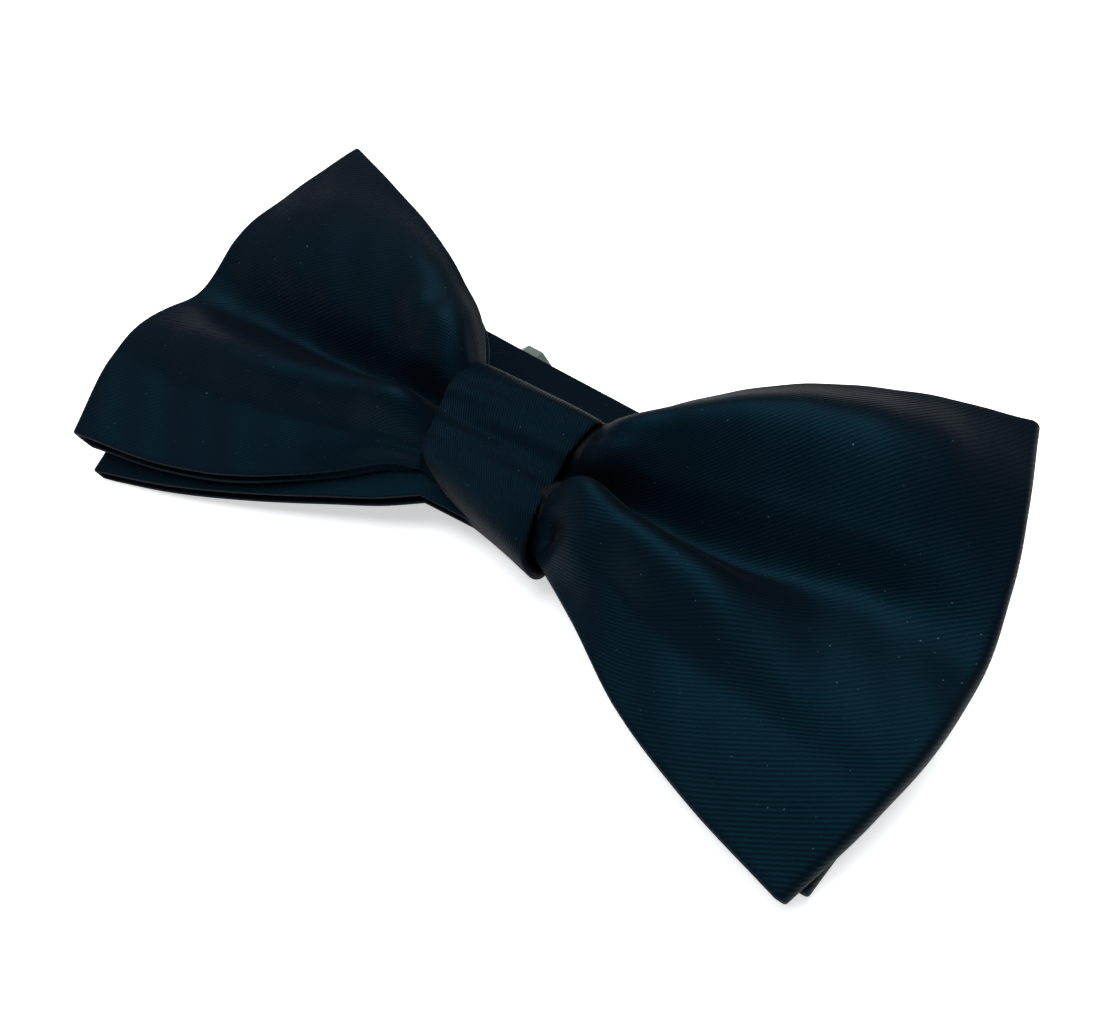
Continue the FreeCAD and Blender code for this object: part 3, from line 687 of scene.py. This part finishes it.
def satin_material(name, twill_angle, twill_pitch, relief, gloss=1.0):
    """Black satin: a fine diagonal twill, a faint blue-green gloss and a little lint.

    The sheen is slightly warm.  twill_pitch and relief are in mm, and gloss scales how
    strongly the cloth reflects."""
    material, nodes, links, shader = node_material(name)
    uv = nodes.new("ShaderNodeUVMap")
    uv.uv_map = "cloth"
    mapping = nodes.new("ShaderNodeMapping")
    mapping.inputs["Rotation"].default_value = (0, 0, math.radians(twill_angle))
    links.new(uv.outputs["UV"], mapping.inputs["Vector"])
    twill = nodes.new("ShaderNodeTexWave")
    twill.wave_profile = "SIN"
    twill.inputs["Scale"].default_value = WAVE_PERIOD / twill_pitch
    twill.inputs["Distortion"].default_value = 0.6
    twill.inputs["Detail"].default_value = 1.0
    twill.inputs["Detail Scale"].default_value = 3.0
    links.new(mapping.outputs["Vector"], twill.inputs["Vector"])
    stretch = nodes.new("ShaderNodeMapping")
    stretch.inputs["Scale"].default_value = (3.0, 0.35, 1)
    links.new(mapping.outputs["Vector"], stretch.inputs["Vector"])
    threads = noise(nodes, links, stretch.outputs["Vector"], 2.6, 3.0, 0.7)
    shading = noise(nodes, links, uv.outputs["UV"], 0.05, 2.0)
    lint = noise(nodes, links, uv.outputs["UV"], 2.9, 1.0, 0.3)

    weave = math_node(nodes, links, "MULTIPLY", twill.outputs["Fac"], threads)
    blend = math_node(nodes, links, "ADD", weave, math_node(nodes, links, "MULTIPLY", shading, 0.6))
    cloth = ramp(nodes, links, blend, (0.25, SATIN_DARK), (0.85, SATIN_PALE))
    speck = remap(nodes, links, lint, *LINT_ABOVE, 0.0, 1.0)
    mix = nodes.new("ShaderNodeMix")
    mix.data_type = "RGBA"
    links.new(speck, mix.inputs["Factor"])
    links.new(cloth, mix.inputs[6])
    mix.inputs[7].default_value = LINT_COLOR
    links.new(mix.outputs[2], shader.inputs["Base Color"])
    rough = remap(nodes, links, weave, 0.1, 0.7, *SATIN_ROUGHNESS)
    links.new(rough, shader.inputs["Roughness"])
    facing = nodes.new("ShaderNodeLayerWeight").outputs["Facing"]
    face_on, grazing = (strength * gloss for strength in SATIN_GLOSS)
    level = remap(nodes, links, facing, 0.25, 0.9, face_on, grazing)
    links.new(level, shader.inputs["Specular IOR Level"])
    shader.inputs["Specular Tint"].default_value = SATIN_GLOSS_TINT
    shader.inputs["Sheen Weight"].default_value = SATIN_SHEEN
    shader.inputs["Sheen Roughness"].default_value = 0.35
    shader.inputs["Sheen Tint"].default_value = SATIN_SHEEN_TINT
    height = math_node(nodes, links, "ADD", twill.outputs["Fac"], threads)
    bumped(nodes, links, shader, height, relief * MM, 0.5)
    return material


def object_vector(nodes):
    return nodes.new("ShaderNodeTexCoord").outputs["Object"]


def thread_material(name, base, pale):
    """Twisted sewing thread: slanting ply lines and loose fibre."""
    material, nodes, links, shader = node_material(name)
    place = object_vector(nodes)
    twist = nodes.new("ShaderNodeTexWave")
    twist.bands_direction = "DIAGONAL"
    twist.inputs["Scale"].default_value = 900
    twist.inputs["Distortion"].default_value = 0.8
    links.new(place, twist.inputs["Vector"])
    fibre = noise(nodes, links, place, 4000)
    color = ramp(nodes, links, fibre, (0.3, base), (0.8, pale))
    links.new(color, shader.inputs["Base Color"])
    shader.inputs["Roughness"].default_value = 0.75
    shader.inputs["Sheen Weight"].default_value = 0.1
    bumped(nodes, links, shader, twist.outputs["Fac"], 0.00008, 0.6)
    return material


def canvas_material(name):
    """Interlining: a plain open weave of two sets of threads."""
    material, nodes, links, shader = node_material(name)
    place = object_vector(nodes)
    heights = []
    for direction in ("X", "Y"):
        weave = nodes.new("ShaderNodeTexWave")
        weave.bands_direction = direction
        weave.inputs["Scale"].default_value = 620
        weave.inputs["Distortion"].default_value = 0.5
        links.new(place, weave.inputs["Vector"])
        heights.append(weave.outputs["Fac"])
    height = math_node(nodes, links, "MULTIPLY", *heights)
    color = ramp(nodes, links, height, (0.1, (0.42, 0.40, 0.36)), (0.8, (0.66, 0.64, 0.60)))
    links.new(color, shader.inputs["Base Color"])
    shader.inputs["Roughness"].default_value = 0.9
    bumped(nodes, links, shader, height, 0.0001, 0.6)
    return material


def enamel_material(name):
    """Black enamelled wire and plate, rubbed to bare metal here and there."""
    material, nodes, links, shader = node_material(name)
    place = object_vector(nodes)
    patches = noise(nodes, links, place, 380, 5.0, 0.6)
    fine = noise(nodes, links, place, 2600, 2.0)
    worn = remap(nodes, links, patches, 0.66, 0.74, 0.0, 1.0)
    color = ramp(nodes, links, worn, (0.0, (0.012, 0.013, 0.015)), (1.0, (0.16, 0.16, 0.155)))
    links.new(color, shader.inputs["Base Color"])
    links.new(remap(nodes, links, worn, 0, 1, 0.0, 0.9), shader.inputs["Metallic"])
    links.new(remap(nodes, links, fine, 0.3, 0.7, 0.24, 0.40), shader.inputs["Roughness"])
    bumped(nodes, links, shader, fine, 0.00003, 0.4)
    return material


def slide_material(name):
    """Moulded smoke-grey plastic, slightly cloudy, with a fine moulding grain."""
    material, nodes, links, shader = node_material(name)
    place = object_vector(nodes)
    cloud = noise(nodes, links, place, 160, 3.0)
    grain = noise(nodes, links, place, 3000, 2.0)
    color = ramp(nodes, links, cloud, (0.3, (0.060, 0.078, 0.070)), (0.7, (0.105, 0.128, 0.115)))
    links.new(color, shader.inputs["Base Color"])
    links.new(remap(nodes, links, grain, 0.3, 0.7, 0.28, 0.42), shader.inputs["Roughness"])
    shader.inputs["Transmission Weight"].default_value = 0.15
    bumped(nodes, links, shader, grain, 0.00002, 0.3)
    return material


# ---------------------------------------------------------------- the scene


# The camera's place in mm, its rotation in degrees and its lens
CAMERA_AT = (54.28, -68.6, 102.25)
CAMERA_ANGLES = (40.113, 0.118, 35.412)
CAMERA_LENS = 29.67
# The floor gives off this much light of its own, so that it renders as a white surround
FLOOR_GLOW = 0.55
# Strength of the surround at the horizon and overhead
SKY = (0.55, 0.22)


def make_floor():
    """The pale surface under the tie, which isn't part of it."""
    bpy.ops.mesh.primitive_plane_add(size=8, location=(0, 0, 0))
    floor = bpy.context.object
    floor.name = "floor"
    material, _, _, shader = node_material("floor_white")
    shader.inputs["Base Color"].default_value = (0.9, 0.9, 0.91, 1)
    shader.inputs["Emission Color"].default_value = (1, 1, 1, 1)
    shader.inputs["Emission Strength"].default_value = FLOOR_GLOW
    shader.inputs["Roughness"].default_value = 0.6
    floor.data.materials.append(material)


def add_area(name, location, target, size, power, color):
    """A rectangular lamp aimed at a target."""
    light = bpy.data.lights.new(name, "AREA")
    light.shape = "RECTANGLE"
    light.size, light.size_y = size
    light.energy = power
    light.color = color
    lamp = bpy.data.objects.new(name, light)
    lamp.location = location
    direction = Vector(target) - Vector(location)
    lamp.rotation_euler = direction.to_track_quat("-Z", "Y").to_euler()
    bpy.context.collection.objects.link(lamp)


def make_lights():
    """One soft lamp overhead, and a surround brighter near the horizon."""
    world = bpy.data.worlds.new("studio")
    bpy.context.scene.world = world
    world.use_nodes = True
    nodes, links = world.node_tree.nodes, world.node_tree.links
    background = nodes["Background"]
    background.inputs["Color"].default_value = (0.95, 0.98, 1, 1)
    sky = nodes.new("ShaderNodeTexCoord")
    split = nodes.new("ShaderNodeSeparateXYZ")
    links.new(sky.outputs["Generated"], split.inputs["Vector"])
    strength = remap(nodes, links, split.outputs["Z"], 0.0, 0.25, *SKY)
    links.new(strength, background.inputs["Strength"])
    add_area("softbox", (-0.10, 0.0, 0.65), (0, 0, 0), (0.7, 0.40), 8.0, (0.95, 0.99, 1))
    bpy.context.scene.view_settings.view_transform = "Standard"


def make_camera():
    data = bpy.data.cameras.new("camera")
    data.lens = CAMERA_LENS
    data.sensor_width = 36
    data.clip_start = 0.005
    camera = bpy.data.objects.new("camera", data)
    camera.location = Vector(CAMERA_AT) * MM
    angles = [math.radians(a) for a in CAMERA_ANGLES]
    camera.rotation_euler = Euler(angles, "XYZ")
    bpy.context.collection.objects.link(camera)
    bpy.context.scene.camera = camera


def clothe(piece, material):
    """Give the piece this material alone."""
    piece.data.materials.clear()
    piece.data.materials.append(material)


def finish_cad_nodes():
    """Materials for the CAD parts, by what each is made of."""
    black_thread = thread_material("black_thread", (0.004, 0.006, 0.007), (0.02, 0.026, 0.03))
    finishes = {
        "slider": slide_material("smoke_plastic"),
        "hook": enamel_material("hook_enamel"),
        "eye": enamel_material("eye_enamel"),
        "gathering_thread": thread_material("white_thread", (0.45, 0.43, 0.4), (0.7, 0.68, 0.64)),
    }
    canvas = canvas_material("interlining_canvas")
    for name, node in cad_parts.items():
        other = canvas if "interlining" in name else black_thread
        clothe(node, finishes.get(name, other))


def main():
    front, back = make_bow()
    knot = make_knot()
    band = make_band()
    clothe(front, satin_material("bow_satin", twill_angle=57, twill_pitch=0.45, relief=0.045))
    clothe(back, satin_material("back_satin", twill_angle=57, twill_pitch=0.45, relief=0.045))
    clothe(knot, satin_material("knot_satin", twill_angle=71, twill_pitch=0.38, relief=0.16, gloss=0.8))
    band_satin = satin_material("band_satin", twill_angle=45, twill_pitch=0.42, relief=0.05, gloss=0.35)
    for piece in band:
        clothe(piece, band_satin)
    finish_cad_nodes()
    make_floor()
    make_lights()
    make_camera()


main()
